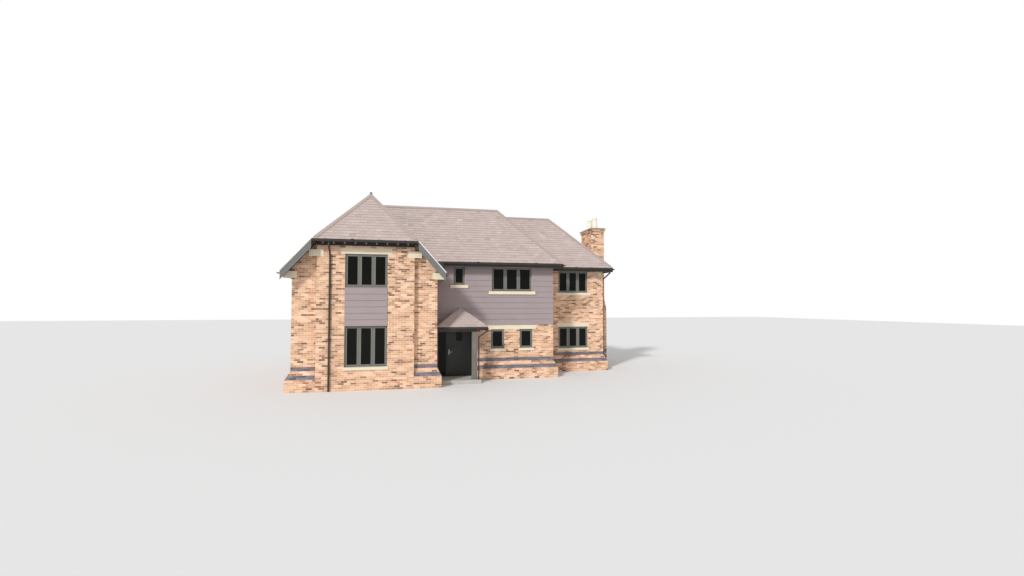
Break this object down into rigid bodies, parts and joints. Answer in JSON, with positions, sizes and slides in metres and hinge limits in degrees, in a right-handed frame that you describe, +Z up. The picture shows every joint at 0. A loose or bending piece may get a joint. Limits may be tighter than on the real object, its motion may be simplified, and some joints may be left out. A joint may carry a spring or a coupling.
{
  "type": "detached house",
  "caption": "Two-storey brick house with a half-hipped wing, a boarded middle with a hipped porch and hinged front door, and a set-back end with an outside chimney.",
  "frame": {"origin": "on the ground, in the middle of the rectangle that holds the walls, on the underside of the ground floor", "axes": "+X runs along the front from the wing to the chimney, the front faces -Y, +Z is up"},
  "size_m": [14.804, 10.478, 7.87],
  "materials": {
    "floor": "smooth concrete",
    "deck": "boarded floor",
    "step": "worn paving",
    "brick": "orange-buff facing brick with pale mortar",
    "boarding": "mauve-grey painted boards",
    "dressed_stone": "cream dressed stone",
    "frame_paint": "grey-green satin paint",
    "window_glass": "clear sealed units",
    "door_paint": "dark grey-green satin paint",
    "handle_metal": "satin steel",
    "roof_tile": "muted pink-brown plain tiles",
    "oak": "weathered grey oak",
    "roof_sheet": "grey roofing sheet",
    "ridge_clay": "half-round clay tiles",
    "barge_paint": "light grey paint",
    "soffit_wood": "stained timber",
    "rainwater": "dark brown-black coated metal",
    "pot_clay": "cream clay"
  },
  "bodies": {
    "house": {"ground_floor": "floor", "first_floor": "deck", "entrance_step": "step", "wing_front_wall": "brick", "wing_side_wall": "brick", "left_wall": "brick", "entrance_wall": "brick", "middle_front_wall": "brick", "setback_wall": "brick", "right_front_wall": "brick", "right_wall": "brick", "rear_wall": "brick", "brick_plinth": "brick", "front_cladding": "boarding", "bay_panel": "boarding", "stone_lintels": "dressed_stone", "stone_sills": "dressed_stone", "kneeler_stones": "dressed_stone", "lower_window_frames": "frame_paint", "upper_window_frames": "frame_paint", "lower_window_glass": "window_glass", "upper_window_glass": "window_glass", "entrance_frame": "door_paint", "sidelight_glass": "window_glass", "porch_roof": "roof_tile", "porch_beams": "oak", "porch_post": "oak", "main_roof_front": "roof_tile", "main_roof_right": "roof_tile", "main_roof_rear": "roof_tile", "roof_crown": "roof_sheet", "left_roof": "roof_tile", "wing_roof_right": "roof_tile", "half_hips": "roof_tile", "ridge_tiles": "ridge_clay", "bargeboards": "barge_paint", "eaves_soffit": "soffit_wood", "rafter_feet": "soffit_wood", "gutters": "rainwater", "downpipes": "rainwater", "chimney_stack": "brick", "chimney_pots": "pot_clay"},
    "door": {"front_door": "door_paint", "door_pane": "window_glass", "door_handle": "handle_metal"}
  },
  "joints": [
    {"name": "front_door_hinge", "type": "hinge", "parent": "house", "child": "door", "pos_m": [0.0375, -2.946, 1.2], "axis": [0, 0, -1], "range_deg": [0, 90]}
  ]
}
